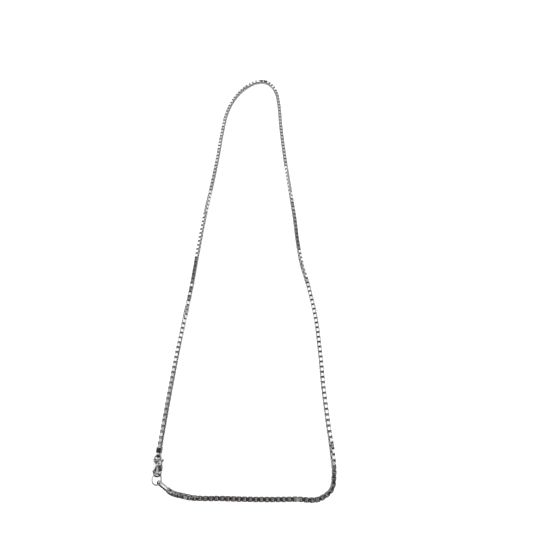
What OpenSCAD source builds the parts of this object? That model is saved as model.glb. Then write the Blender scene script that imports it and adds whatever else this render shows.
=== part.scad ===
// Box chain necklace with a lobster clasp, lying in one long loop.
// Millimetres. +X is across the loop, +Y runs along it from the clasp end to the far bend,
// +Z is up. The origin is on the resting surface, under the middle of the whole necklace.

/* [Chain] */
// Outer side of one square link
link_side = 2.0; // [1.6:0.05:2.4]
// Width of the strip that a link is bent from
link_width = 1.1; // [0.8:0.05:1.3]

/* [End cap] */
// Side of the square cap that is soldered over the last link
cap_side = 2.46; // [2.2:0.02:2.6]
// Length of the cap along the chain
cap_length = 2.3; // [1.8:0.1:3.0]
// Rounding of the long edges of the cap
cap_edge = 0.3; // [0.1:0.05:0.5]
// Outer diameter of the flat ring that stands on the cap
cap_ring_d = 2.3; // [2.2:0.02:2.5]
// Thickness of the flat ring
cap_ring_thick = 0.3; // [0.24:0.02:0.34]
// Width of the flat ring
cap_ring_width = 1.3; // [1.0:0.05:1.35]

/* [Clasp body] */
// Width of the clasp across its hook
clasp_width = 3.9; // [3.6:0.1:4.4]
// Length from the bottom of the hook to the middle of the eyelet
eyelet_at = 7.6; // [7.5:0.1:8.4]
// Thickness of the clasp at the lever
clasp_thick = 3.0; // [2.8:0.1:3.2]
// Width of the hook's bar, seen from above
hook_bar = 0.6; // [0.5:0.02:0.64]
// Thickness of the hook's bar
hook_thick = 1.0; // [0.8:0.05:1.05]
// Radius of the clasp's crowned faces
crown_r = 3.7; // [3.2:0.1:5.0]
// Width of the spine beside the opening
spine_width = 1.2; // [1.0:0.05:1.4]
// Outer diameter of the eyelet
eyelet_d = 3.36; // [3.3:0.02:3.6]
// Wire of the eyelet
eyelet_wire = 0.64; // [0.5:0.02:0.66]

/* [Lever] */
// Thickness of the lever
lever_thick = 1.5; // [1.2:0.05:1.6]
// Width of the lever's arm
lever_arm = 1.5; // [1.2:0.05:1.6]
// Radius of the lever round its rivet
lever_hub = 0.78; // [0.7:0.02:0.85]
// Diameter of the rivet
rivet_d = 0.8; // [0.6:0.05:0.9]
// How far each head of the rivet stands out
rivet_head = 0.06; // [0.04:0.01:0.08]

/* [Jump ring] */
// Outer diameter of the jump ring
jump_d = 5.1; // [5.0:0.02:5.2]
// Wire of the jump ring
jump_wire = 0.64; // [0.5:0.02:0.66]

/* [End loop] */
// Length of the end loop between the middles of its two round ends
loop_straight = 3.8; // [3.4:0.1:4.4]
// Width of the end loop between the middles of its wires
loop_span = 1.8; // [1.7:0.05:1.9]
// Wire of the end loop
loop_wire = 0.64; // [0.5:0.02:0.66]
// Length of the soldered seat between the loop and the chain
seat_length = 0.6; // [0.4:0.05:1.0]

/* [Clearances] */
// Gap between the rivet and the lever's bore
pivot_gap = 0.05; // [0.03:0.01:0.08]
// Gap between the rivet and the bores of the clasp
rivet_gap = 0.015; // [0.01:0.005:0.03]
// Gap between the lever and the slot that it turns in
slot_gap = 0.08; // [0.05:0.01:0.12]
// Gap between the lever's end and the tip of the hook
tip_gap = 0.1; // [0.06:0.01:0.15]
// Gap between the surface and the lowest ring
floor_gap = 0.02; // [0.01:0.01:0.05]

/* [Hidden] */
round_fn = 48;
wire_fn = 24;
crown_fn = 120;
eps = 0.01;
metal = [0.80, 0.80, 0.82];
dark_metal = [0.70, 0.70, 0.72];

// Place of the clasp: the outer bottom of its hook, its lean from +Y and its middle height
clasp_at = [-38.1, -109.8];
clasp_lean = 1.5;
clasp_z = clasp_thick / 2 + 0.1;
hook_r = clasp_width / 2;
hook_mid_r = hook_r - hook_bar / 2;
hook_tip_angle = 8;
eyelet_mid_r = (eyelet_d - eyelet_wire) / 2;
eyelet_shift = -0.25;
crown_shift = -0.2;

// A point given across and along the clasp, as a place on the table
function clasp_point(v, u) = [
    clasp_at.x + v * cos(clasp_lean) - u * sin(clasp_lean),
    clasp_at.y + v * sin(clasp_lean) + u * cos(clasp_lean)];

// The lever's pivot, across and along the clasp, and how far its nub reaches past the hub
nub_reach = 1.2;
pivot = [0.75, eyelet_at - 2.0];

// The cap's ring hangs in the eyelet, so the cap follows the clasp
hang_gap = 0.52;
hang_shift = -0.1;
hang_drop = 0.15;
cap_lean = -5;
cap_dir = [-sin(cap_lean), cos(cap_lean)];
cap_ring_in_r = cap_ring_d / 2 - cap_ring_thick;
cap_ring_near = eyelet_at + eyelet_mid_r - eyelet_wire / 2 - cap_ring_thick - hang_gap;
cap_ring_at = clasp_point(hang_shift, cap_ring_near + cap_ring_d / 2);
cap_ring_z = max(cap_ring_d / 2 + floor_gap, clasp_z - hang_drop);
cap_face = cap_ring_at + cap_ring_in_r * cap_dir;
cap_top = cap_face + cap_length * cap_dir;
cap_z = cap_side / 2 + floor_gap;

// The jump ring leans through the hook, high on its left and low on its right
jump_mid_r = (jump_d - jump_wire) / 2;
jump_tilt = 43;
jump_turn = 12 + clasp_lean;
jump_shift = 0;
jump_reach = hook_bar + 1.2;
jump_at = clasp_point(jump_shift, jump_reach - jump_d / 2);
jump_z = jump_mid_r * sin(jump_tilt) + jump_wire / 2 + floor_gap;

// The end loop passes through the jump ring and leads to the last link
loop_angle = -34;
loop_roll = 35;
loop_dir = [cos(loop_angle), sin(loop_angle)];
loop_side = [-sin(loop_angle), cos(loop_angle)];
loop_in = 1.39;
loop_shift = 0.61;
loop_start = jump_at + (jump_mid_r - loop_in) * loop_dir - loop_shift * loop_side;
loop_z = rest_height(loop_roll) + floor_gap;
loop_full = loop_straight + loop_span;
seat_end = loop_start + (loop_full + loop_wire / 2 + seat_length) * loop_dir;

// Route of the chain on the surface, from the end cap round the far bend to the end loop.
// Columns: x, y. The first and last points follow the end cap and the end loop.
ROUTE = [cap_top, [-37.3, -88.6], [-35.8, -73.7], [-33.9, -56.8], [-31.7, -39.9],
    [-29.4, -23.1], [-27.0, -0.2], [-24.9, 18.0], [-22.2, 37.0], [-19.5, 57.2],
    [-17.2, 78.8], [-15.2, 92.0], [-12.1, 101.4], [-7.9, 108.8], [-2.7, 114.4],
    [3.2, 118.0], [9.1, 118.1], [13.1, 114.8], [15.8, 109.2], [17.2, 100.8],
    [18.2, 84.3], [19.6, 67.4], [21.3, 50.9], [23.2, 35.1],
    [25.1, 19.2], [26.5, 3.3], [28.1, -8.2], [31.5, -22.3], [34.1, -36.6],
    [35.6, -54.4], [36.5, -73.0], [37.8, -88.4], [39.0, -101.0], [39.2, -108.5],
    [37.8, -114.4], [33.2, -117.8], [22.0, -118.2], [-8.0, -118.0], [-25.8, -117.1],
    seat_end];
split_at = 13;

// How the chain is rolled about its own line along the route.
// Columns: share of the chain's length, roll in degrees. At 0 and 90 a link lies flat.
AT = 0;
ROLL = 1;
ROLLS = [[0, 3], [0.011, 6], [0.017, 42], [0.052, 42], [0.061, 5], [0.082, 0],
    [0.093, -15], [0.106, -20], [0.113, -45], [0.126, -45], [0.135, -8], [0.178, -5],
    [0.186, 12], [0.215, 15], [0.226, 45], [0.243, 48], [0.254, 90], [0.397, 90],
    [0.403, 72], [0.418, 70], [0.421, 58], [0.426, 58], [0.429, 70], [0.441, 72],
    [0.447, 90], [0.551, 90], [0.56, 50], [0.586, 45], [0.597, 4], [0.649, 0],
    [0.66, 20], [0.67, 40], [0.681, 15], [0.69, 4], [0.827, 0], [0.835, 42],
    [0.842, 20], [0.851, 0], [0.975, 0], [0.985, 25], [1, 35]];
rings_per_step = 2;
// How far the end cap carries the chain above its resting height, and over what length
cap_lift = cap_z - rest_height(0);
lift_length = 8;

// Half height of the notched square section at a roll
function rest_height(roll) = max(
    link_width / 2 * abs(cos(roll)) + link_side / 2 * abs(sin(roll)),
    link_width / 2 * abs(sin(roll)) + link_side / 2 * abs(cos(roll)));

// Value of a table at a share, straight between its rows
function table_at(table, share, i = 0) =
    i >= len(table) - 2 || share <= table[i + 1][AT]
        ? let (a = table[i], b = table[i + 1], f = (share - a[AT]) / (b[AT] - a[AT]))
            a[ROLL] + (b[ROLL] - a[ROLL]) * min(1, max(0, f))
        : table_at(table, share, i + 1);

// Smooth curve through the route: slope at each point, then a cubic between neighbours
steps = [for (i = [0:len(ROUTE) - 2]) norm(ROUTE[i + 1] - ROUTE[i])];
function leg(i) = (ROUTE[i + 1] - ROUTE[i]) / steps[i];
function slope(i) =
    i == 0 ? cap_dir :
    i == len(ROUTE) - 1 ? -loop_dir :
    (leg(i) * steps[i - 1] + leg(i - 1) * steps[i]) / (steps[i - 1] + steps[i]);
function curve(i, t) =
    (2 * t ^ 3 - 3 * t ^ 2 + 1) * ROUTE[i] + (t ^ 3 - 2 * t ^ 2 + t) * steps[i] * slope(i)
    + (3 * t ^ 2 - 2 * t ^ 3) * ROUTE[i + 1] + (t ^ 3 - t ^ 2) * steps[i] * slope(i + 1);
centres = [for (i = [0:len(ROUTE) - 2]) for (k = [0:rings_per_step - 1])
    curve(i, k / rings_per_step), ROUTE[len(ROUTE) - 1]];
lengths = [for (i = 0, s = 0; i < len(centres);
    s = s + (i + 1 < len(centres) ? norm(centres[i + 1] - centres[i]) : 0), i = i + 1) s];
chain_length = lengths[len(lengths) - 1];
function heading(i) =
    let (last = len(centres) - 1)
    i == 0 ? cap_dir :
    i == last ? -loop_dir :
    let (d = centres[i + 1] - centres[i - 1]) d / norm(d);

// The outline of two links that cross: a square with a notch in each corner
w = link_width / 2;
s = link_side / 2;
SECTION = [[s, -w], [s, w], [w, w], [w, s], [-w, s], [-w, w], [-s, w], [-s, -w],
    [-w, -w], [-w, -s], [w, -s], [w, -w]];
sides = len(SECTION);
function ring_points(i) =
    let (roll = table_at(ROLLS, lengths[i] / chain_length),
        lift = cap_lift * max(0, 1 - lengths[i] / lift_length),
        d = heading(i), across = [d.y, -d.x])
    [for (p = SECTION)
        let (a = p.x * cos(roll) - p.y * sin(roll), b = p.x * sin(roll) + p.y * cos(roll))
        [centres[i].x + a * across.x, centres[i].y + a * across.y,
            rest_height(roll) + lift + b]];

// One closed run of the chain between two rings of its outline
module chain_run(first, last) {
    count = last - first + 1;
    points = [for (i = [first:last]) each ring_points(i),
        [centres[first].x, centres[first].y,
            (ring_points(first)[0].z + ring_points(first)[6].z) / 2],
        [centres[last].x, centres[last].y,
            (ring_points(last)[0].z + ring_points(last)[6].z) / 2]];
    start_hub = count * sides;
    end_hub = start_hub + 1;
    faces = concat(
        [for (r = [0:count - 2]) for (k = [0:sides - 1])
            let (a = r * sides + k, b = r * sides + (k + 1) % sides)
            each [[a, b, a + sides], [b, b + sides, a + sides]]],
        [for (k = [0:sides - 1]) [start_hub, (k + 1) % sides, k]],
        [for (k = [0:sides - 1])
            [end_hub, (count - 1) * sides + k, (count - 1) * sides + (k + 1) % sides]]);
    polyhedron(points, faces, convexity = 10);
}

module chain_left() {
    color(metal) chain_run(0, split_at * rings_per_step);
}

module chain_right() {
    color(metal) chain_run(split_at * rings_per_step, len(centres) - 1);
}

// A ring of round wire in the XY plane
module wire_ring(mid_r, wire) {
    rotate_extrude($fn = round_fn)
        translate([mid_r, 0]) circle(d = wire, $fn = wire_fn);
}

// Square cap over the last link, with a flat ring that stands on its face
module end_cap() {
    color(metal) union() {
        translate([cap_face.x, cap_face.y, cap_z]) rotate([0, 0, cap_lean])
            rotate([-90, 0, 0]) linear_extrude(cap_length) rounded_square(cap_side, cap_edge);
        translate([cap_ring_at.x, cap_ring_at.y, cap_ring_z]) rotate([0, 0, cap_lean])
            rotate([0, 90, 0]) difference() {
                cylinder(h = cap_ring_width, r = cap_ring_d / 2, center = true, $fn = round_fn);
                cylinder(h = 2 * cap_ring_width, r = cap_ring_in_r, center = true,
                    $fn = round_fn);
            }
    }
}

module rounded_square(side, r) {
    square([side - 2 * r, side], center = true);
    square([side, side - 2 * r], center = true);
    for (x = [-1, 1], y = [-1, 1])
        translate([x, y] * (side / 2 - r)) circle(r, $fn = wire_fn);
}

// Puts what is drawn across (X), along (Y) and up (Z) of the clasp in its place
module on_clasp() {
    translate([clasp_at.x, clasp_at.y, clasp_z]) rotate([0, 0, clasp_lean]) children();
}

// Seen from above: spine on the left and head round the lever's rivet
module clasp_outline() {
    inner = -hook_r + spine_width;
    head = pivot.y;
    left = eyelet_shift - eyelet_mid_r;
    polygon([[-hook_r, hook_r], [-hook_r, head + 1.0],
        [left - eyelet_wire / 2, eyelet_at], [left + eyelet_wire / 2, eyelet_at],
        [left + 0.7, head + 1.5], [0.7, head + 1.5], [pivot.x + 0.8, head + 0.7],
        [pivot.x + 0.85, head - 0.5], [pivot.x + 0.2, head - 1.0], [0.1, head - 1.05],
        [inner, head - 1.7], [inner, hook_r],
        [-hook_mid_r * 0.9, hook_r - hook_mid_r * 0.43], [-hook_mid_r, hook_r]]);
}

// Seen from the side: thin at the hook, full at the lever and thin again at the eyelet
module clasp_profile() {
    half = clasp_thick / 2;
    head = pivot.y;
    rows = [[hook_bar / 2, hook_thick / 2], [hook_r, hook_thick / 2], [hook_r + 0.35, half * 0.6],
        [hook_r + 0.8, half * 0.82], [hook_r + 1.4, half * 0.94], [head - 1.4, half],
        [head - 0.2, half * 0.97], [head + 0.7, half * 0.86], [head + 1.2, half * 0.79],
        [head + 1.5, half * 0.6], [eyelet_at + eps, eyelet_wire / 2]];
    polygon([for (r = rows) r, for (i = [len(rows) - 1:-1:0]) [rows[i].x, -rows[i].y]]);
}

// Seen from its end: crowned above and below
module clasp_crown() {
    intersection_for(side = [-1, 1])
        translate([crown_shift, side * (crown_r - clasp_thick / 2)])
            circle(crown_r, $fn = crown_fn);
}

// Hook, spine and head, with the slot that the lever's arm and nub turn in
module clasp_frame() {
    far = 2 * clasp_width;
    below = pivot.y - hook_r;
    difference() {
        union() {
            rotate([0, 0, 180]) translate([0, -hook_r, 0])
                rotate_extrude(angle = 180 + hook_tip_angle, $fn = round_fn)
                    translate([hook_mid_r, 0]) bar_section(hook_bar, hook_thick);
            intersection() {
                translate([0, 0, -clasp_thick]) linear_extrude(2 * clasp_thick)
                    clasp_outline();
                rotate([90, 0, 90]) translate([0, 0, -2 * clasp_width])
                    linear_extrude(4 * clasp_width) clasp_profile();
                rotate([-90, 0, 0]) linear_extrude(2 * eyelet_at) clasp_crown();
            }
        }
        translate([0, 0, -lever_thick / 2 - slot_gap])
            linear_extrude(lever_thick + 2 * slot_gap) {
                translate([pivot.x - lever_hub - slot_gap, hook_r]) square([far, below]);
                translate([pivot.x, hook_r]) square([far, below + lever_hub + nub_reach]);
            }
    }
}

module clasp_body() {
    color(metal) on_clasp() difference() {
        union() {
            clasp_frame();
            translate([eyelet_shift, eyelet_at, 0]) wire_ring(eyelet_mid_r, eyelet_wire);
        }
        translate([pivot.x, pivot.y, 0])
            cylinder(h = lever_thick + 2 * slot_gap, r = lever_hub + slot_gap, center = true,
                $fn = round_fn);
        translate([pivot.x, pivot.y, -clasp_thick])
            cylinder(h = 2 * clasp_thick, d = rivet_d + 2 * rivet_gap, $fn = round_fn);
    }
}

// Flat bar with rounded edges
module bar_section(width, thick) {
    r = width * 0.4;
    square([width, thick - 2 * r], center = true);
    square([width - 2 * r, thick], center = true);
    for (x = [-1, 1], y = [-1, 1])
        translate([x * (width / 2 - r), y * (thick / 2 - r)]) circle(r, $fn = wire_fn);
}

// Lever: hub on the rivet, arm down to the tip of the hook and nub for the thumb
module clasp_lever() {
    tip = hook_r + hook_r * sin(hook_tip_angle) + tip_gap;
    slant = lever_arm * tan(hook_tip_angle);
    outer = hook_r;
    color(dark_metal) on_clasp() difference() {
        translate([0, 0, -lever_thick / 2]) linear_extrude(lever_thick) {
            translate(pivot) circle(lever_hub, $fn = round_fn);
            polygon([[outer - lever_arm, tip - slant], [outer, tip], [outer + 0.03, tip + 1.2],
                [outer - 0.05, pivot.y - 1.2], [pivot.x + 0.6, pivot.y],
                [pivot.x + 1.6, pivot.y + 1.05], [pivot.x + 1.25, pivot.y + 1.45],
                [pivot.x + 0.1, pivot.y + 0.6], [pivot.x - 0.6, pivot.y - 0.1],
                [pivot.x - 0.4, pivot.y - 1.5], [outer - lever_arm, tip + 1.0]]);
            translate([pivot.x + 1.4, pivot.y + 1.22]) circle(0.32, $fn = wire_fn);
        }
        translate([pivot.x, pivot.y, -clasp_thick])
            cylinder(h = 2 * clasp_thick, d = rivet_d + 2 * pivot_gap, $fn = round_fn);
    }
}

// Rivet with two low heads, through both cheeks of the clasp and the lever
module lever_rivet() {
    shank = clasp_thick + 2 * rivet_gap;
    color(metal) on_clasp() translate([pivot.x, pivot.y, 0]) {
        cylinder(h = shank, d = rivet_d, center = true, $fn = round_fn);
        for (side = [0, 1]) mirror([0, 0, side])
            translate([0, 0, shank / 2])
                cylinder(h = rivet_head, d1 = rivet_d + 0.3, d2 = rivet_d, $fn = round_fn);
    }
}

module jump_ring() {
    color(metal) translate([jump_at.x, jump_at.y, jump_z]) rotate([0, 0, jump_turn])
        rotate([0, jump_tilt, 0]) wire_ring(jump_mid_r, jump_wire);
}

// Long loop of round wire, soldered to the chain by a square seat
module end_loop() {
    end_r = loop_span / 2;
    color(metal) translate([loop_start.x, loop_start.y, loop_z]) rotate([0, 0, loop_angle])
        rotate([loop_roll, 0, 0]) {
            for (x = [end_r, end_r + loop_straight])
                translate([x, 0, 0]) rotate([0, 0, x == end_r ? 90 : -90])
                    rotate_extrude(angle = 180, $fn = round_fn)
                        translate([end_r, 0]) circle(d = loop_wire, $fn = wire_fn);
            for (y = [-end_r, end_r])
                translate([end_r, y, 0]) rotate([0, 90, 0])
                    cylinder(h = loop_straight, d = loop_wire, $fn = wire_fn);
            translate([loop_full - loop_wire / 4, -link_width / 2, -link_side / 2])
                cube([loop_wire * 0.75 + seat_length, link_width, link_side]);
            translate([loop_full - loop_wire / 4, -link_side / 2, -link_width / 2])
                cube([loop_wire * 0.75 + seat_length, link_side, link_width]);
        }
}

chain_left();
chain_right();
end_cap();
clasp_body();
clasp_lever();
lever_rivet();
jump_ring();
end_loop();
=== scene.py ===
"""Box chain necklace with a lobster clasp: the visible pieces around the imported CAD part.

Metres, in the frame of the CAD part: +X across the loop, +Y along it, +Z up from the table.
"""

import math
import random

import bmesh
import bpy
from mathutils import Matrix, Vector


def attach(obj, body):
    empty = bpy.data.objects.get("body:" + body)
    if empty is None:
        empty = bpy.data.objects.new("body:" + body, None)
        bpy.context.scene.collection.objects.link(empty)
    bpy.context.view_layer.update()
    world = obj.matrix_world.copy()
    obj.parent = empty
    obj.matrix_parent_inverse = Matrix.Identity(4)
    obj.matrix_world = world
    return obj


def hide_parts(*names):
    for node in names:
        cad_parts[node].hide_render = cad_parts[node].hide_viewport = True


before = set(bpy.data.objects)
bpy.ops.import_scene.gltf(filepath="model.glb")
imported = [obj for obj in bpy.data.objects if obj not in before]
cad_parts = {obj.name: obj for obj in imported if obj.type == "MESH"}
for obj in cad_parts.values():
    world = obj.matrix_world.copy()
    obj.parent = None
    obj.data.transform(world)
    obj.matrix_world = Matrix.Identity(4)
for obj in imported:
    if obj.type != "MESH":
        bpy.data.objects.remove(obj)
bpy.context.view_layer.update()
scene = bpy.context.scene
MM = 0.001

# The links: as large outside as in the CAD part, but bent from a broader and thinner strip
LINK_SIDE = 2.0 * MM
LINK_WIDTH = 1.3 * MM
LINK_WALL = 0.33 * MM
LINK_PITCH = 1.2 * MM
OUTER_BEND = 0.3 * MM
INNER_BEND = 0.12 * MM
BEND_SEGMENTS = 4
FLAT_MARGIN = 0.03 * MM  # how far inside the end of a flat its extra point lies
OUTER_RIM = 0.07 * MM
INNER_RIM = 0.05 * MM
BEND_REACH = 0.26 * MM  # how far a bend reaches in from the corner
END_WALL = 0.95  # share of half the side beyond which a wall stands across the chain; these walls, between the links, get full painted shade
LINK_CREASE = 33  # degrees above which an edge stays crisp
CAST_CREASE = 60
CAST_SMOOTHING = 0.5

# How dull a face of a link is, and how much painted shade it gets: polished outside, sheared edge,
# outside of a bend (half painted shade), hollow (full painted shade)
POLISHED, SHEARED, BEND, HOLLOW_SHADE = 0.0, 0.5, 0.75, 1.0
# Painted light: values that links rolled over, and those across the loop, take instead, changing
# the painted shade on their bends and the tone of their sheared edges
ROLLED_OVER_TONES = {BEND: 0.12, SHEARED: 0.08}
CROSSWISE = {BEND: 0.35, SHEARED: 0.6}
ROLLED_OVER = 0.4  # least product of the rises of a link's two cross axes
RUNS_ALONG = 0.6  # least share of Y in the heading of a link that isn't across the loop

# Ends of the route, at the cap and at the seat of the end loop
CAP_TOP = Vector((-38.1602, -97.6977)) * MM
CAP_LEAN = math.radians(-5)
SEAT_END = Vector((-32.3198, -115.171)) * MM
LOOP_ANGLE = math.radians(-34)
FIRST_LINK_IN = 0.45 * MM
LAST_LINK_IN = 0.5 * MM
CAP_LIFT = 0.25 * MM  # the first link's rise to the middle of the cap
LIFT_LENGTH = 8 * MM
TABLE_GAP = 0.03 * MM

# Route of the chain on the table, as in the CAD part, x and y in millimetres
ROUTE_MM = [
    (-37.3, -88.6), (-35.8, -73.7), (-33.9, -56.8), (-31.7, -39.9), (-29.4, -23.1),
    (-27.0, -0.2), (-24.9, 18.0), (-22.2, 37.0), (-19.5, 57.2), (-17.2, 78.8),
    (-15.2, 92.0), (-12.1, 101.4), (-7.9, 108.8), (-2.7, 114.4), (3.2, 118.0),
    (9.1, 118.1), (13.1, 114.8), (15.8, 109.2), (17.2, 100.8), (18.2, 84.3),
    (19.6, 67.4), (21.3, 50.9), (23.2, 35.1), (25.1, 19.2), (26.5, 3.3),
    (28.1, -8.2), (31.5, -22.3), (34.1, -36.6), (35.6, -54.4), (36.5, -73.0),
    (37.8, -88.4), (39.0, -101.0), (39.2, -108.5), (37.8, -114.4), (33.2, -117.8),
    (22.0, -118.2), (-8.0, -118.0), (-25.8, -117.1),
]
SPLIT_AT = 13  # leg of the route at which the right half of the chain begins
SAMPLES_PER_LEG = 32
HEADING_REACH = 3  # samples on each side that a link's heading is taken over

# Roll of the chain about its own line: share of its length, degrees
ROLLS = [
    (0, 3), (0.011, 0), (0.082, 0), (0.093, -15), (0.106, -20), (0.113, -45), (0.121, -45),
    (0.129, -8), (0.168, -5), (0.176, 12), (0.215, 15), (0.226, 45), (0.243, 48), (0.254, 90),
    (0.397, 90), (0.403, 72), (0.418, 70), (0.421, 58), (0.426, 58), (0.429, 70), (0.441, 72),
    (0.447, 90), (0.551, 90), (0.56, 50), (0.586, 45), (0.597, 4), (0.649, 0), (0.66, 20),
    (0.67, 40), (0.682, 30), (0.692, -16), (0.722, -16), (0.74, -3), (0.827, 0), (0.835, 42),
    (0.842, 20), (0.851, 0), (0.975, 0), (0.985, 25), (1, 35),
]
SEED = 11
ROLL_WOBBLE = 1.2  # degrees
SWAY_WOBBLE = 0.45
WIDEST_WOBBLE = 2  # times the spread of a wobble


# Route
def table_at(table, share):
    """The value at a share of the length, read between the rows of a table."""
    for (a, at_a), (b, at_b) in zip(table, table[1:]):
        if share <= b:
            return at_a + (at_b - at_a) * min(1, max(0, (share - a) / (b - a)))
    return table[-1][1]


def rest_height(roll):
    """Height of the chain's middle line when it lies on the table, rolled by an angle."""
    cosine, sine = abs(math.cos(roll)), abs(math.sin(roll))
    width, side = LINK_WIDTH / 2, LINK_SIDE / 2
    return max(width * cosine + side * sine, width * sine + side * cosine)


def route_samples():
    """Dense points on the smooth route, the distance to each, and the distance to the split."""
    route = [CAP_TOP] + [Vector(p) * MM for p in ROUTE_MM] + [SEAT_END]
    legs = [b - a for a, b in zip(route, route[1:])]
    steps = [leg.length for leg in legs]
    slopes = [Vector((-math.sin(CAP_LEAN), math.cos(CAP_LEAN)))]
    for i in range(1, len(route) - 1):
        slopes.append((legs[i] / steps[i] * steps[i - 1] + legs[i - 1] / steps[i - 1] * steps[i])
                      / (steps[i] + steps[i - 1]))
    slopes.append(-Vector((math.cos(LOOP_ANGLE), math.sin(LOOP_ANGLE))))
    points = []
    for i, step in enumerate(steps):
        for k in range(SAMPLES_PER_LEG):
            t = k / SAMPLES_PER_LEG
            points.append((2 * t ** 3 - 3 * t ** 2 + 1) * route[i]
                          + (t ** 3 - 2 * t ** 2 + t) * step * slopes[i]
                          + (3 * t ** 2 - 2 * t ** 3) * route[i + 1]
                          + (t ** 3 - t ** 2) * step * slopes[i + 1])
    points.append(route[-1])
    lengths = [0.0]
    for a, b in zip(points, points[1:]):
        lengths.append(lengths[-1] + (b - a).length)
    return points, lengths, lengths[SPLIT_AT * SAMPLES_PER_LEG]


def on_route(points, lengths, at):
    """Point and direction at a distance along the route."""
    low, high = 0, len(lengths) - 1
    while high - low > 1:
        mid = (low + high) // 2
        low, high = (mid, high) if lengths[mid] <= at else (low, mid)
    share = (at - lengths[low]) / (lengths[high] - lengths[low])
    heading = (points[min(high + HEADING_REACH, len(points) - 1)]
               - points[max(low - HEADING_REACH, 0)])
    return points[low].lerp(points[high], share), heading.normalized()


# Meshes
def new_object(name, mesh):
    """A mesh as an object in the scene."""
    ob = bpy.data.objects.new(name, mesh)
    scene.collection.objects.link(ob)
    return ob


def finish_mesh(mesh, crease):
    """Smooth shading, with edges sharper than the angle in degrees kept crisp."""
    bm = bmesh.new()
    bm.from_mesh(mesh)
    bmesh.ops.recalc_face_normals(bm, faces=bm.faces)
    limit = math.radians(crease)
    for face in bm.faces:
        face.smooth = True
    for edge in bm.edges:
        edge.smooth = edge.calc_face_angle(0) < limit
    bm.to_mesh(mesh)
    bm.free()
    mesh.update()


def rounded_square(half, radius):
    """Outline of a rounded square, with an extra point just inside each end of every flat."""
    centre = Vector((half - radius, half - radius))
    corner = [centre + Vector((radius, -FLAT_MARGIN))]
    for k in range(BEND_SEGMENTS + 1):
        a = math.pi / 2 * k / BEND_SEGMENTS
        corner.append(centre + radius * Vector((math.cos(a), math.sin(a))))
    corner.append(centre + Vector((-FLAT_MARGIN, radius)))
    turns = [Matrix.Rotation(math.pi / 2 * quarter, 2) for quarter in range(4)]
    return [turn @ p for turn in turns for p in corner]


def link_template():
    """One square link bent from flat strip: its points, its faces, and each face's dullness and
    painted shade.

    X runs along the chain, and Z along the axis of the link's hole.
    """
    half, edge = LINK_SIDE / 2, LINK_WIDTH / 2
    outer = rounded_square(half, OUTER_BEND)
    inner = rounded_square(half - LINK_WALL, INNER_BEND)
    outer_share, inner_share = OUTER_RIM / LINK_WALL, 1 - INNER_RIM / LINK_WALL
    rings = [  # share of the wall from outside to inside, place on the hole's axis, dullness and painted shade
        (0.0, -edge + OUTER_RIM, POLISHED), (0.0, edge - OUTER_RIM, POLISHED),
        (outer_share, edge, SHEARED), (inner_share, edge, HOLLOW_SHADE),
        (1.0, edge - INNER_RIM, HOLLOW_SHADE), (1.0, -edge + INNER_RIM, HOLLOW_SHADE),
        (inner_share, -edge, SHEARED), (outer_share, -edge, POLISHED),
    ]
    verts = []
    for share, z, _ in rings:
        for outside, inside in zip(outer, inner):
            point = outside.lerp(inside, share)
            verts.append((point.x, point.y, z))
    count = len(outer)
    faces, dullness_and_shade = [], []
    for r, (_, _, ring_dullness_and_shade) in enumerate(rings):
        after = (r + 1) % len(rings)
        for k in range(count):
            beside = (k + 1) % count
            faces.append((r * count + k, r * count + beside,
                          after * count + beside, after * count + k))
            middle = (outer[k] + outer[beside]) / 2
            # Painted shade: the walls across the chain and the hollows go fully dark, the outside
            # of each bend half dark
            if abs(middle.x) > END_WALL * half:
                dullness_and_shade.append(HOLLOW_SHADE)
            elif min(abs(middle.x), abs(middle.y)) > half - BEND_REACH and not ring_dullness_and_shade:
                dullness_and_shade.append(BEND)
            else:
                dullness_and_shade.append(ring_dullness_and_shade)
    return verts, faces, dullness_and_shade


def chain_piece(name, places, template):
    """All the links of one half of the chain as one mesh."""
    verts, faces, dullness_and_shade = template
    all_verts, all_faces, values = [], [], []
    rolled_tones = [ROLLED_OVER_TONES.get(dull, dull) for dull in dullness_and_shade]
    crosswise = [CROSSWISE.get(dull, dull) for dull in dullness_and_shade]
    for place in places:
        base = len(all_verts)
        all_verts += [(place @ Vector(v))[:] for v in verts]
        all_faces += [tuple(base + i for i in f) for f in faces]
        # Painted light: rolled-over and crosswise links take other values, which change the painted
        # shade on their bends and the tone of their sheared edges
        if abs(place.col[1].z * place.col[2].z) > ROLLED_OVER:
            values += rolled_tones
        elif abs(place.col[0].y) < RUNS_ALONG:
            values += crosswise
        else:
            values += dullness_and_shade
    mesh = bpy.data.meshes.new(name)
    mesh.from_pydata(all_verts, [], all_faces)
    mesh.attributes.new("dullness_and_shade", "FLOAT", "FACE").data.foreach_set("value", values)
    finish_mesh(mesh, LINK_CREASE)
    return new_object(name, mesh)


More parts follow.
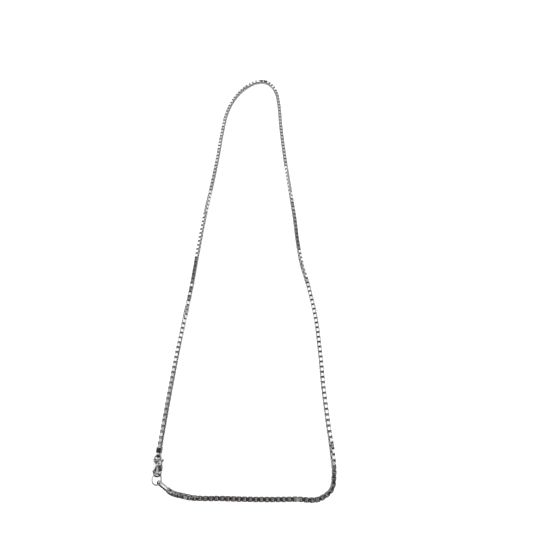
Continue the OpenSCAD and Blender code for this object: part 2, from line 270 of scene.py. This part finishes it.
def chain_links():
    """Place of every link on the route: even links are turned a quarter on odd ones."""
    points, lengths, split = route_samples()
    total = lengths[-1]
    run = total - FIRST_LINK_IN - LAST_LINK_IN
    last = round(run / LINK_PITCH)
    rng = random.Random(SEED)

    def wobble(spread):
        return math.radians(max(-WIDEST_WOBBLE, min(WIDEST_WOBBLE, rng.gauss(0, 1))) * spread)

    left, right = [], []
    for i in range(last + 1):
        at = FIRST_LINK_IN + i * run / last
        point, heading = on_route(points, lengths, at)
        roll = math.radians(table_at(ROLLS, at / total)) + wobble(ROLL_WOBBLE)
        z = rest_height(roll) + TABLE_GAP + CAP_LIFT * max(0, 1 - at / LIFT_LENGTH)
        along = Vector((heading.x, heading.y, 0))
        across = Vector((heading.y, -heading.x, 0))
        up = Vector((0, 0, 1))
        out = across * math.cos(roll) + up * math.sin(roll)
        top = -across * math.sin(roll) + up * math.cos(roll)
        axes = (along, top, out) if i % 2 == 0 else (along, -out, top)
        sway = (Matrix.Rotation(wobble(SWAY_WOBBLE), 3, out)
                @ Matrix.Rotation(wobble(SWAY_WOBBLE), 3, top))
        basis = sway @ Matrix(axes).transposed()
        place = Matrix.Translation((point.x, point.y, z)) @ basis.to_4x4()
        (left if at < split else right).append(place)
    return left, right


def softened(node, name, voxel, passes, keep=1, nod=0):
    """A CAD solid with the soft, rounded edges of a cast and tumbled piece.

    The voxel is in millimetres, keep is the share of faces that stay, and nod turns the piece
    about X by that many degrees.
    """
    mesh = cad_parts[node].data.copy()
    mesh.name = name
    mesh.transform(Matrix.Scale(1 / MM, 4))
    if nod:
        middle = sum((v.co for v in mesh.vertices), Vector()) / len(mesh.vertices)
        mesh.transform(Matrix.Translation(middle) @ Matrix.Rotation(math.radians(nod), 4, "X")
                       @ Matrix.Translation(-middle))
    ob = new_object(name + "_work", mesh)
    remesh = ob.modifiers.new("remesh", "REMESH")
    remesh.mode = "VOXEL"
    remesh.voxel_size = voxel
    smooth = ob.modifiers.new("smooth", "SMOOTH")
    smooth.factor = CAST_SMOOTHING
    smooth.iterations = passes
    if keep < 1:
        ob.modifiers.new("reduce", "DECIMATE").ratio = keep
    done = bpy.data.meshes.new_from_object(ob.evaluated_get(bpy.context.evaluated_depsgraph_get()))
    bpy.data.objects.remove(ob)
    done.name = name
    done.transform(Matrix.Scale(MM, 4))
    done.materials.clear()
    finish_mesh(done, CAST_CREASE)
    return new_object(name, done)


# Shader nodes
def fill(tree, socket, value):
    """Give an input a fixed value, or link an output to it."""
    if isinstance(value, bpy.types.NodeSocket):
        tree.links.new(value, socket)
    else:
        socket.default_value = value


def math_node(tree, operation, a, b=0.0):
    """One sum, product or other operation on two numbers."""
    node = tree.nodes.new("ShaderNodeMath")
    node.operation = operation
    fill(tree, node.inputs[0], a)
    fill(tree, node.inputs[1], b)
    return node.outputs[0]


def ranged(tree, value, low, high, to_low=0, to_high=1, smooth=False):
    """A value between low and high, mapped to the range between to_low and to_high."""
    node = tree.nodes.new("ShaderNodeMapRange")
    node.interpolation_type = "SMOOTHSTEP" if smooth else "LINEAR"
    for key, setting in (("Value", value), ("From Min", low), ("From Max", high),
                         ("To Min", to_low), ("To Max", to_high)):
        fill(tree, node.inputs[key], setting)
    return node.outputs["Result"]


def colour_mix(tree, share, a, b):
    """Colour a where the share is 0, and b where it is 1."""
    node = tree.nodes.new("ShaderNodeMix")
    node.data_type = "RGBA"
    fill(tree, node.inputs[0], share)
    fill(tree, node.inputs[6], a)
    fill(tree, node.inputs[7], b)
    return node.outputs[2]


def noise(tree, where, scale, detail):
    """Soft noise at a place."""
    node = tree.nodes.new("ShaderNodeTexNoise")
    node.inputs["Scale"].default_value = scale
    node.inputs["Detail"].default_value = detail
    tree.links.new(where, node.inputs["Vector"])
    return node.outputs["Fac"]


def by_ray(tree, other_rays, camera_rays):
    """One shader for what the camera sees, and another for the rays that light the scene."""
    path = tree.nodes.new("ShaderNodeLightPath")
    node = tree.nodes.new("ShaderNodeMixShader")
    for socket, value in zip(node.inputs, (path.outputs["Is Camera Ray"], other_rays, camera_rays)):
        tree.links.new(value, socket)
    return node.outputs[0]


def grey(level):
    """A neutral colour."""
    return (level, level, level, 1)


# Metals
BLOTCH_SCALE, BLOTCH_DETAIL = 260, 3
SCRATCH_DETAIL = 4
SMOOTHEST, ROUGHEST = 0.6, 1.5  # times the metal's own roughness
SCRATCH_STRENGTH = 0.12
SCRATCH_DEPTH = 0.01 * MM
SHEARED_COLOUR = (0.42, 0.41, 0.40, 1)
SHEARED_ROUGHNESS = 0.34
# Colour of the painted shade in the links' hollows and of the painted dark spots
PAINTED_SHADE_COLOUR = (0.10, 0.095, 0.09, 1)
DARK_SPOT_CORE = 0.6  # share of a painted dark spot's radius that is fully dark


def silver(name, base, rough, grain, wear, links=False, painted_dark_spots=()):
    """Polished silver: colour and gloss vary softly, with fine scratches in the bump.

    Links have dull cut edges, and painted shade in their hollows, between them and on their bends.
    A painted dark spot stands in for dark reflection and shade: its middle and its radius, in
    millimetres.
    """
    mat = bpy.data.materials.new(name)
    mat.use_nodes = True
    tree = mat.node_tree
    shader = tree.nodes["Principled BSDF"]
    shader.inputs["Metallic"].default_value = 1.0
    where = tree.nodes.new("ShaderNodeTexCoord").outputs["Object"]
    colour = colour_mix(tree, noise(tree, where, BLOTCH_SCALE, BLOTCH_DETAIL),
                        (*[c * (1 - wear) for c in base], 1), (*base, 1))
    scratch = noise(tree, where, grain, SCRATCH_DETAIL)
    roughness = ranged(tree, scratch, 0, 1, rough * SMOOTHEST, rough * ROUGHEST)
    if links:
        attribute = tree.nodes.new("ShaderNodeAttribute")
        attribute.attribute_name = "dullness_and_shade"
        dullness_and_shade = attribute.outputs["Fac"]
        sheared = ranged(tree, dullness_and_shade, POLISHED, SHEARED)
        colour = colour_mix(tree, sheared, colour, SHEARED_COLOUR)
        # Painted shade: hollows, walls between links and bends darken toward the painted shade
        # colour
        colour = colour_mix(tree, ranged(tree, dullness_and_shade, SHEARED, HOLLOW_SHADE), colour, PAINTED_SHADE_COLOUR)
        smooth_part = math_node(tree, "MULTIPLY", roughness,
                                math_node(tree, "SUBTRACT", 1.0, sheared))
        roughness = math_node(tree, "ADD", smooth_part,
                              math_node(tree, "MULTIPLY", sheared, SHEARED_ROUGHNESS))
    # Painted dark spots: dark reflection and shade painted at given places
    for *middle, radius in painted_dark_spots:
        away = tree.nodes.new("ShaderNodeVectorMath")
        away.operation = "DISTANCE"
        away.inputs[1].default_value = Vector(middle) * MM
        tree.links.new(where, away.inputs[0])
        spot = ranged(tree, away.outputs["Value"], radius * DARK_SPOT_CORE * MM, radius * MM, 1, 0,
                      smooth=True)
        colour = colour_mix(tree, spot, colour, PAINTED_SHADE_COLOUR)
    tree.links.new(colour, shader.inputs["Base Color"])
    tree.links.new(roughness, shader.inputs["Roughness"])
    bump = tree.nodes.new("ShaderNodeBump")
    bump.inputs["Strength"].default_value = SCRATCH_STRENGTH
    bump.inputs["Distance"].default_value = SCRATCH_DEPTH
    tree.links.new(scratch, bump.inputs["Height"])
    tree.links.new(bump.outputs["Normal"], shader.inputs["Normal"])
    return mat


chain_silver = silver("chain_silver", (0.90, 0.89, 0.87), rough=0.10, grain=2600, wear=0.06,
                      links=True)
# The clasp's painted dark spots: painted dark reflection and shade at the eyelet and at the hook's
# end
clasp_silver = silver("clasp_silver", (0.80, 0.79, 0.78), rough=0.07, grain=3200, wear=0.10,
                      painted_dark_spots=[(-38.3, -102.0, 1.5, 1.6), (-38.6, -109.0, 1.6, 1.3),
                              (-37.3, -109.2, 1.6, 1.3)])
lever_silver = silver("lever_silver", (0.70, 0.69, 0.68), rough=0.10, grain=3200, wear=0.14)
# The cap's painted dark spot: painted dark reflection and shade at its end by the clasp's eyelet
cap_silver = silver("cap_silver", (0.72, 0.71, 0.70), rough=0.11, grain=3000, wear=0.10,
                    painted_dark_spots=[(-38.4, -101.4, 1.4, 1.6)])
# The wire's painted dark spots: painted dark reflection and shade on the jump ring and along the
# end loop
wire_silver = silver("wire_silver", (0.66, 0.655, 0.65), rough=0.07, grain=3000, wear=0.06,
                     painted_dark_spots=[(-36.2, -110.3, 2.6, 1.3), (-38.1, -113.1, 0.7, 1.2),
                             (-37.4, -113.1, 1.1, 1.2), (-36.2, -113.8, 1.1, 1.1),
                             (-35.0, -114.6, 1.1, 1.1), (-33.8, -115.4, 1.1, 1.1)])

# The necklace: each visible piece, the CAD node that it replaces, its body, slot and metal
left_links, right_links = chain_links()
template = link_template()
pieces = [
    (chain_piece("links_left", left_links, template),
     "chain_left", "necklace", "chain_metal", chain_silver),
    (chain_piece("links_right", right_links, template),
     "chain_right", "necklace", "chain_metal", chain_silver),
    (softened("end_cap", "cap", voxel=0.06, passes=7, nod=2),
     "end_cap", "necklace", "fitting_metal", cap_silver),
    (softened("clasp_body", "clasp", voxel=0.05, passes=7),
     "clasp_body", "necklace", "clasp_metal", clasp_silver),
    (softened("clasp_lever", "lever", voxel=0.04, passes=3, keep=0.5),
     "clasp_lever", "lever", "clasp_metal", lever_silver),
    (softened("lever_rivet", "rivet", voxel=0.04, passes=2, keep=0.5),
     "lever_rivet", "necklace", "clasp_metal", clasp_silver),
    (softened("jump_ring", "ring", voxel=0.05, passes=2, keep=0.6),
     "jump_ring", "necklace", "fitting_metal", wire_silver),
    (softened("end_loop", "loop", voxel=0.05, passes=2, keep=0.6),
     "end_loop", "necklace", "fitting_metal", wire_silver),
]
for piece, node, body, slot, metal in pieces:
    piece.data.materials.clear()
    piece.data.materials.append(metal)
    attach(piece, body)
    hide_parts(node)

# Floor: white to the camera; in the metal's reflections, a darker painted shade whose tone changes
# along Y
FLOOR_HALF = 4
FLOOR_Z = -0.00002
PAPER_WHITE = 0.93
PAPER_ROUGHNESS = 0.9
NEAR_TONES = (-0.112, -0.05, 0.13, 0.26)  # from y to y, from tone to tone
FAR_TONES = (0.098, 0.113, 0.0, 0.52)

floor_mesh = bpy.data.meshes.new("floor")
floor_mesh.from_pydata([(x * FLOOR_HALF, y * FLOOR_HALF, FLOOR_Z)
                        for x, y in ((-1, -1), (1, -1), (1, 1), (-1, 1))], [], [(0, 1, 2, 3)])
floor = new_object("floor", floor_mesh)
white = bpy.data.materials.new("floor_white")
white.use_nodes = True
floor_tree = white.node_tree
paper = floor_tree.nodes["Principled BSDF"]
paper.inputs["Base Color"].default_value = grey(PAPER_WHITE)
paper.inputs["Roughness"].default_value = PAPER_ROUGHNESS
paper.inputs["Specular IOR Level"].default_value = 0.0
on_floor = floor_tree.nodes.new("ShaderNodeSeparateXYZ")
floor_tree.links.new(floor_tree.nodes.new("ShaderNodeTexCoord").outputs["Object"],
                     on_floor.inputs[0])
shade = floor_tree.nodes.new("ShaderNodeBsdfDiffuse")
tone = math_node(floor_tree, "MAXIMUM", ranged(floor_tree, on_floor.outputs["Y"], *NEAR_TONES),
                 ranged(floor_tree, on_floor.outputs["Y"], *FAR_TONES))
floor_tree.links.new(tone, shade.inputs["Color"])
floor_tree.links.new(by_ray(floor_tree, shade.outputs[0], paper.outputs[0]),
                     floor_tree.nodes["Material Output"].inputs["Surface"])
floor_mesh.materials.append(white)

# A wide, soft light that falls on the floor alone and leaves the gloss of the metal to the studio
FLOOR_LIGHT = 4.2
FLOOR_LIGHT_ANGLE = math.radians(100)

floor_light = bpy.data.lights.new("floor_light", "SUN")
floor_light.energy = FLOOR_LIGHT
floor_light.angle = FLOOR_LIGHT_ANGLE
sun = bpy.data.objects.new("floor_light", floor_light)
scene.collection.objects.link(sun)
lit_floor = bpy.data.collections.new("lit_floor")
lit_floor.objects.link(floor)
sun.light_linking.receiver_collection = lit_floor

# Studio: what the metal mirrors, by angles from overhead, fore toward +Y and side toward +X.
# The rows of the tables are degrees, brightness, warmth.
OVERHEAD = [
    (-90, 0.05, 0), (-50, 0.07, 1), (-12, 0.05, 3), (-6, 0.022, 3), (0, 0.03, 2),
    (22, 0.15, 0), (28, 0.20, 0), (32.5, 0.66, 0), (50, 0.66, 0), (60, 0.20, 0), (90, 0.07, 0)]
# Share of the main box that stays on the left side, by fore
LEFT_SHARE = [
    (-90, 1, 0), (0.9, 1, 0), (1.5, 0.22, 0), (3, 0.23, 0), (6, 0.36, 0), (8, 0.70, 0),
    (10, 1, 0), (90, 1, 0)]
# Walls, by side
WALLS = [
    (-90, 0.25, 0), (-80, 0.8, 0), (-70, 1.2, 0), (-24, 1.2, 0), (0, 0.3, 0), (24, 0.28, 0),
    (60, 0.22, 0), (90, 0.35, 0)]
# Horizon, by the angle round from the side, toward -Y where it is positive
HORIZON = [
    (-90, 0.06, 0), (-66, 0.10, 0), (-50, 0.95, 0), (-18, 0.90, 0), (-9, 0.36, 0), (-2, 0.18, 0),
    (10, 0.14, 0), (90, 0.06, 0)]
HORIZON_RISE = (0.14, 0.34)  # rise of a direction over which the horizon gives way
# Brightness of the boxes and of the dark part of the walls
MAIN_BOX, FAR_LEFT_BOX, RIGHT_BOX, BEHIND = 1.25, 1.3, 1.05, 0.03
# Soft edges in degrees, from and to, and the shares before and after where they aren't 0 and 1
NEAR_EDGE = (-1.85, -1.45)
FAR_EDGE = (14.6, 16.2, 1, 0)
LEFT_TO_RIGHT = (-5, 0)
FAR_LEFT_FORE = (35, 41)
FAR_LEFT_SIDE = (-10, -2, 1, 0)
RIGHT_SIDE = (0, 20)
BEHIND_FORE = (-58, -46, 0.05, 1)
WALL_FOOT = (20, 24)
# How much the edges of the main box turn with the side
NEAR_SKEW, FAR_SKEW = 0.04, 0.37
GREEN_LOSS, BLUE_LOSS = 0.10, 0.13  # for each step of warmth

world = bpy.data.worlds.new("studio")
scene.world = world
world.use_nodes = True
sky_tree = world.node_tree
sky_tree.nodes.clear()


def sky_math(operation, a, b=0.0):
    """A math node of the studio."""
    return math_node(sky_tree, operation, a, b)


def between(angle, low, high, to_low=0, to_high=1):
    """A smooth change over a range of an angle in degrees."""
    return ranged(sky_tree, angle, math.radians(low), math.radians(high), to_low, to_high,
                  smooth=True)


def by_angle(angle, stops):
    """Colour by an angle, from the rows of a table."""
    node = sky_tree.nodes.new("ShaderNodeValToRGB")
    ramp = node.color_ramp
    while len(ramp.elements) < len(stops):
        ramp.elements.new(0.5)
    for element, (degrees, level, warmth) in zip(ramp.elements, stops):
        element.position = (degrees + 90) / 180
        green, blue = 1 - GREEN_LOSS * warmth, 1 - BLUE_LOSS * warmth
        element.color = (level, level * green, level * blue, 1)
    half_turns = sky_math("DIVIDE", angle, math.pi)
    sky_tree.links.new(sky_math("ADD", half_turns, 0.5), node.inputs["Fac"])
    return node.outputs["Color"]


direction = sky_tree.nodes.new("ShaderNodeSeparateXYZ")
sky_tree.links.new(sky_tree.nodes.new("ShaderNodeTexCoord").outputs["Generated"],
                   direction.inputs[0])
x, y, z = direction.outputs
fore = sky_math("ARCTAN2", y, z)
side = sky_math("ARCTAN2", x, z)

# Overhead, with a box far ahead on the left and the main box in the middle
far_left = sky_math("MULTIPLY", between(fore, *FAR_LEFT_FORE), between(side, *FAR_LEFT_SIDE))
overhead = colour_mix(sky_tree, far_left, by_angle(fore, OVERHEAD), grey(FAR_LEFT_BOX))
near_edge = between(sky_math("ADD", fore, sky_math("MULTIPLY", side, NEAR_SKEW)), *NEAR_EDGE)
right_skew = sky_math("MULTIPLY", sky_math("MAXIMUM", side, 0.0), FAR_SKEW)
far_edge = between(sky_math("SUBTRACT", fore, right_skew), *FAR_EDGE)
left_or_right = sky_math("MAXIMUM", by_angle(fore, LEFT_SHARE), between(side, *LEFT_TO_RIGHT))
main_box = sky_math("MULTIPLY", sky_math("MULTIPLY", near_edge, far_edge), left_or_right)
overhead = colour_mix(sky_tree, main_box, overhead, grey(MAIN_BOX))

# Walls to the left and the right, with a box over the right one, and dark behind
right_box = sky_math("MULTIPLY", near_edge, between(side, *RIGHT_SIDE))
walls = colour_mix(sky_tree, right_box, by_angle(side, WALLS), grey(RIGHT_BOX))
walls = colour_mix(sky_tree, between(fore, *BEHIND_FORE), grey(BEHIND), walls)
sky = colour_mix(sky_tree, between(sky_math("ABSOLUTE", side), *WALL_FOOT), overhead, walls)

# Horizon, the same on the left and the right
round_about = sky_math("SUBTRACT", sky_math("ARCTAN2", sky_math("ABSOLUTE", x), y), math.pi / 2)
above = ranged(sky_tree, z, *HORIZON_RISE, smooth=True)
sky = colour_mix(sky_tree, above, by_angle(round_about, HORIZON), sky)

studio_light = sky_tree.nodes.new("ShaderNodeBackground")
sky_tree.links.new(sky, studio_light.inputs["Color"])
backdrop = sky_tree.nodes.new("ShaderNodeBackground")
backdrop.inputs["Color"].default_value = grey(1)
sky_tree.links.new(by_ray(sky_tree, studio_light.outputs[0], backdrop.outputs[0]),
                   sky_tree.nodes.new("ShaderNodeOutputWorld").inputs["Surface"])

# Camera
CAMERA_AT = (0.0096, -0.0942, 0.2049)
CAMERA_TILT = math.radians(22.37)  # from straight down, toward +Y
SENSOR_WIDTH = 36
LENS = 28.25
NEAREST, FARTHEST = 0.005, 20

camera_data = bpy.data.cameras.new("camera")
camera_data.sensor_width = SENSOR_WIDTH
camera_data.lens = LENS
camera_data.clip_start = NEAREST
camera_data.clip_end = FARTHEST
camera = bpy.data.objects.new("camera", camera_data)
scene.collection.objects.link(camera)
camera.location = CAMERA_AT
camera.rotation_euler = (CAMERA_TILT, 0, 0)
scene.camera = camera
scene.view_settings.view_transform = "Standard"
scene.view_settings.look = "None"
